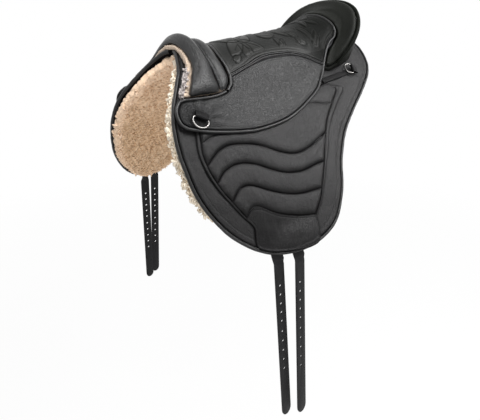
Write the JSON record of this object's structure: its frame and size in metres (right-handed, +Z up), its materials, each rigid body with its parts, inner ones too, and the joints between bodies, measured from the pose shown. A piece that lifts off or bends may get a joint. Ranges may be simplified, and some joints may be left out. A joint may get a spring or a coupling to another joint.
{
  "type": "saddle",
  "caption": "Treeless riding saddle with padded pommel rolls, tooled seat, dished cantle, wave-quilted flaps on fleece panels, hanging girth straps and hinged rings.",
  "frame": {"origin": "top of the horse's back under the middle of the seat, at the underside of the fleece panels", "axes": "+Z up, -Y towards the pommel, +X towards the horse's left (near) side"},
  "size_m": [0.5982, 0.5692, 0.7572],
  "materials": {
    "leather": "satin black, fine grain",
    "tooled_leather": "satin black, tooled flowers",
    "strap_leather": "smooth black, waxed",
    "fleece": "curly pile",
    "felt": "soft felt",
    "foam": "matt",
    "webbing": "woven",
    "steel": "polished"
  },
  "bodies": {
    "saddle": {"billet_guard_near": "leather", "billet_guard_off": "leather", "billet_root_near_front": "strap_leather", "billet_root_near_rear": "strap_leather", "billet_root_off_front": "strap_leather", "billet_root_off_rear": "strap_leather", "cantle_block": "leather", "cantle_pad": "leather", "cantle_piping": "leather", "flap_near": "leather", "flap_off": "leather", "flap_piping_near": "leather", "flap_piping_off": "leather", "fleece_panel_near": "fleece", "fleece_panel_off": "fleece", "gullet_plate": "steel", "jockey_near": "leather", "jockey_off": "leather", "pommel_back_roll": "leather", "pommel_front_roll": "leather", "pommel_lining": "felt", "quilted_panel_near": "leather", "quilted_panel_off": "leather", "rear_keeper_near": "leather", "rear_keeper_off": "leather", "rear_strap_near": "leather", "rear_strap_off": "leather", "seat_foam": "foam", "seat_piping_front": "leather", "seat_piping_rear": "leather", "seat_tooled_centre": "tooled_leather", "seat_welt_near": "leather", "seat_welt_off": "leather", "stirrup_ring_near": "steel", "stirrup_ring_off": "steel", "stirrup_web": "webbing"},
    "skirt_near": {"jockey_skirt_near": "leather", "jockey_piping_near": "leather", "front_keeper_near": "leather"},
    "skirt_off": {"jockey_skirt_off": "leather", "jockey_piping_off": "leather", "front_keeper_off": "leather"},
    "front_ring_near": {"front_ring_near": "steel"},
    "front_ring_off": {"front_ring_off": "steel"},
    "rear_ring_near": {"rear_ring_near": "steel"},
    "rear_ring_off": {"rear_ring_off": "steel"},
    "strap_near_front": {"billet_near_front": "strap_leather"},
    "strap_near_rear": {"billet_near_rear": "strap_leather"},
    "strap_off_front": {"billet_off_front": "strap_leather"},
    "strap_off_rear": {"billet_off_rear": "strap_leather"}
  },
  "joints": [
    {"name": "near_skirt_lift", "type": "hinge", "parent": "saddle", "child": "skirt_near", "pos_m": [0.10659, -0.16, -0.02383], "axis": [-0.0606, -0.9981, -0.0134], "range_deg": [0, 45]},
    {"name": "off_skirt_lift", "type": "hinge", "parent": "saddle", "child": "skirt_off", "pos_m": [-0.10659, -0.16, -0.02383], "axis": [-0.0606, 0.9981, 0.0134], "range_deg": [0, 45]},
    {"name": "near_front_ring_swing", "type": "hinge", "parent": "skirt_near", "child": "front_ring_near", "pos_m": [0.12912, -0.21165, -0.05896], "axis": [-0.3176, -0.8476, 0.4251], "range_deg": [0, 110]},
    {"name": "off_front_ring_swing", "type": "hinge", "parent": "skirt_off", "child": "front_ring_off", "pos_m": [-0.12912, -0.21165, -0.05896], "axis": [-0.3176, 0.8476, -0.4251], "range_deg": [0, 110]},
    {"name": "near_rear_ring_swing", "type": "hinge", "parent": "saddle", "child": "rear_ring_near", "pos_m": [0.11613, 0.20531, -0.00739], "axis": [-0.713, 0.37, 0.5956], "range_deg": [0, 110]},
    {"name": "off_rear_ring_swing", "type": "hinge", "parent": "saddle", "child": "rear_ring_off", "pos_m": [-0.11613, 0.20531, -0.00739], "axis": [-0.713, -0.37, -0.5956], "range_deg": [0, 110]},
    {"name": "near_front_strap_swing", "type": "hinge", "parent": "saddle", "child": "strap_near_front", "pos_m": [0.25153, -0.146, -0.29569], "axis": [0, -1, 0], "range_deg": [-40, 70], "stiffness_Nm_per_rad": 0.15, "springref_deg": 1.17},
    {"name": "near_rear_strap_swing", "type": "hinge", "parent": "saddle", "child": "strap_near_rear", "pos_m": [0.26621, -0.11, -0.29442], "axis": [0, -1, 0], "range_deg": [-40, 70], "stiffness_Nm_per_rad": 0.15, "springref_deg": 1.17},
    {"name": "off_front_strap_swing", "type": "hinge", "parent": "saddle", "child": "strap_off_front", "pos_m": [-0.25153, -0.146, -0.29569], "axis": [0, 1, 0], "range_deg": [-40, 70], "stiffness_Nm_per_rad": 0.15, "springref_deg": 1.17},
    {"name": "off_rear_strap_swing", "type": "hinge", "parent": "saddle", "child": "strap_off_rear", "pos_m": [-0.26621, -0.11, -0.29442], "axis": [0, 1, 0], "range_deg": [-40, 70], "stiffness_Nm_per_rad": 0.15, "springref_deg": 1.17}
  ]
}
